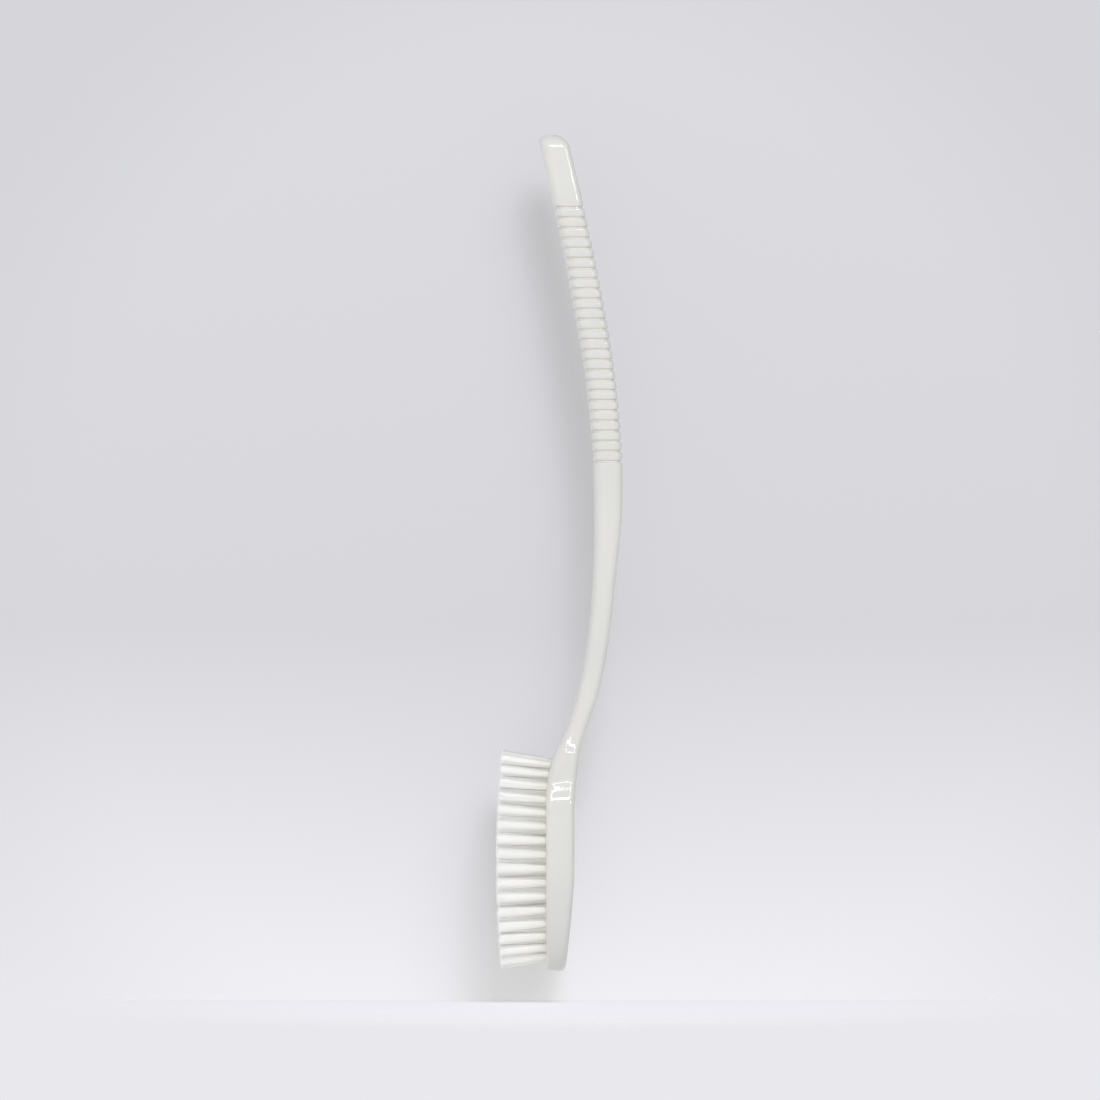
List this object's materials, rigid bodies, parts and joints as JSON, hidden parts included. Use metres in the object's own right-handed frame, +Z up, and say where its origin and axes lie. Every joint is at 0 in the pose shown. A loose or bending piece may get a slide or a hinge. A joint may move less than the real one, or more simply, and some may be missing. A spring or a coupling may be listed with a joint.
{
  "type": "body brush",
  "caption": "Long-handled bath brush with a bowed, ribbed plastic handle and an oval head of nylon tufts, for scrubbing the back and body in the bath or shower.",
  "frame": {"origin": "Middle of the hanging hole near the tip of the handle, on the plane of symmetry.", "axes": "+Z runs up the handle from the head to the tip, -X is the side the bristles point to, +X is the brush's back, and Y is across the brush, which is symmetric about the XZ plane."},
  "size_m": [0.0608, 0.0525, 0.3999],
  "materials": {
    "white_plastic": "smooth, glossy moulded plastic in a slightly warm white",
    "white_nylon": "satin white nylon filaments with rounded ends",
    "anchor_metal": "plain cut wire, hidden inside the head"
  },
  "bodies": {
    "root": {"handle_body": "white_plastic", "outer_ring_tufts": "white_nylon", "middle_ring_tufts": "white_nylon", "centre_row_tufts": "white_nylon", "tuft_anchor_01": "anchor_metal", "tuft_anchor_02": "anchor_metal", "tuft_anchor_03": "anchor_metal", "tuft_anchor_04": "anchor_metal", "tuft_anchor_05": "anchor_metal", "tuft_anchor_06": "anchor_metal", "tuft_anchor_07": "anchor_metal", "tuft_anchor_08": "anchor_metal", "tuft_anchor_09": "anchor_metal", "tuft_anchor_10": "anchor_metal", "tuft_anchor_11": "anchor_metal", "tuft_anchor_12": "anchor_metal", "tuft_anchor_13": "anchor_metal", "tuft_anchor_14": "anchor_metal", "tuft_anchor_15": "anchor_metal", "tuft_anchor_16": "anchor_metal", "tuft_anchor_17": "anchor_metal", "tuft_anchor_18": "anchor_metal", "tuft_anchor_19": "anchor_metal", "tuft_anchor_20": "anchor_metal", "tuft_anchor_21": "anchor_metal", "tuft_anchor_22": "anchor_metal", "tuft_anchor_23": "anchor_metal", "tuft_anchor_24": "anchor_metal", "tuft_anchor_25": "anchor_metal", "tuft_anchor_26": "anchor_metal", "tuft_anchor_27": "anchor_metal", "tuft_anchor_28": "anchor_metal", "tuft_anchor_29": "anchor_metal", "tuft_anchor_30": "anchor_metal", "tuft_anchor_31": "anchor_metal", "tuft_anchor_32": "anchor_metal", "tuft_anchor_33": "anchor_metal", "tuft_anchor_34": "anchor_metal", "tuft_anchor_35": "anchor_metal", "tuft_anchor_36": "anchor_metal", "tuft_anchor_37": "anchor_metal", "tuft_anchor_38": "anchor_metal", "tuft_anchor_39": "anchor_metal", "tuft_anchor_40": "anchor_metal", "tuft_anchor_41": "anchor_metal", "tuft_anchor_42": "anchor_metal", "tuft_anchor_43": "anchor_metal", "tuft_anchor_44": "anchor_metal", "tuft_anchor_45": "anchor_metal", "tuft_anchor_46": "anchor_metal", "tuft_anchor_47": "anchor_metal", "tuft_anchor_48": "anchor_metal", "tuft_anchor_49": "anchor_metal", "tuft_anchor_50": "anchor_metal", "tuft_anchor_51": "anchor_metal", "tuft_anchor_52": "anchor_metal", "tuft_anchor_53": "anchor_metal", "tuft_anchor_54": "anchor_metal", "tuft_anchor_55": "anchor_metal", "tuft_anchor_56": "anchor_metal"}
  },
  "joints": []
}
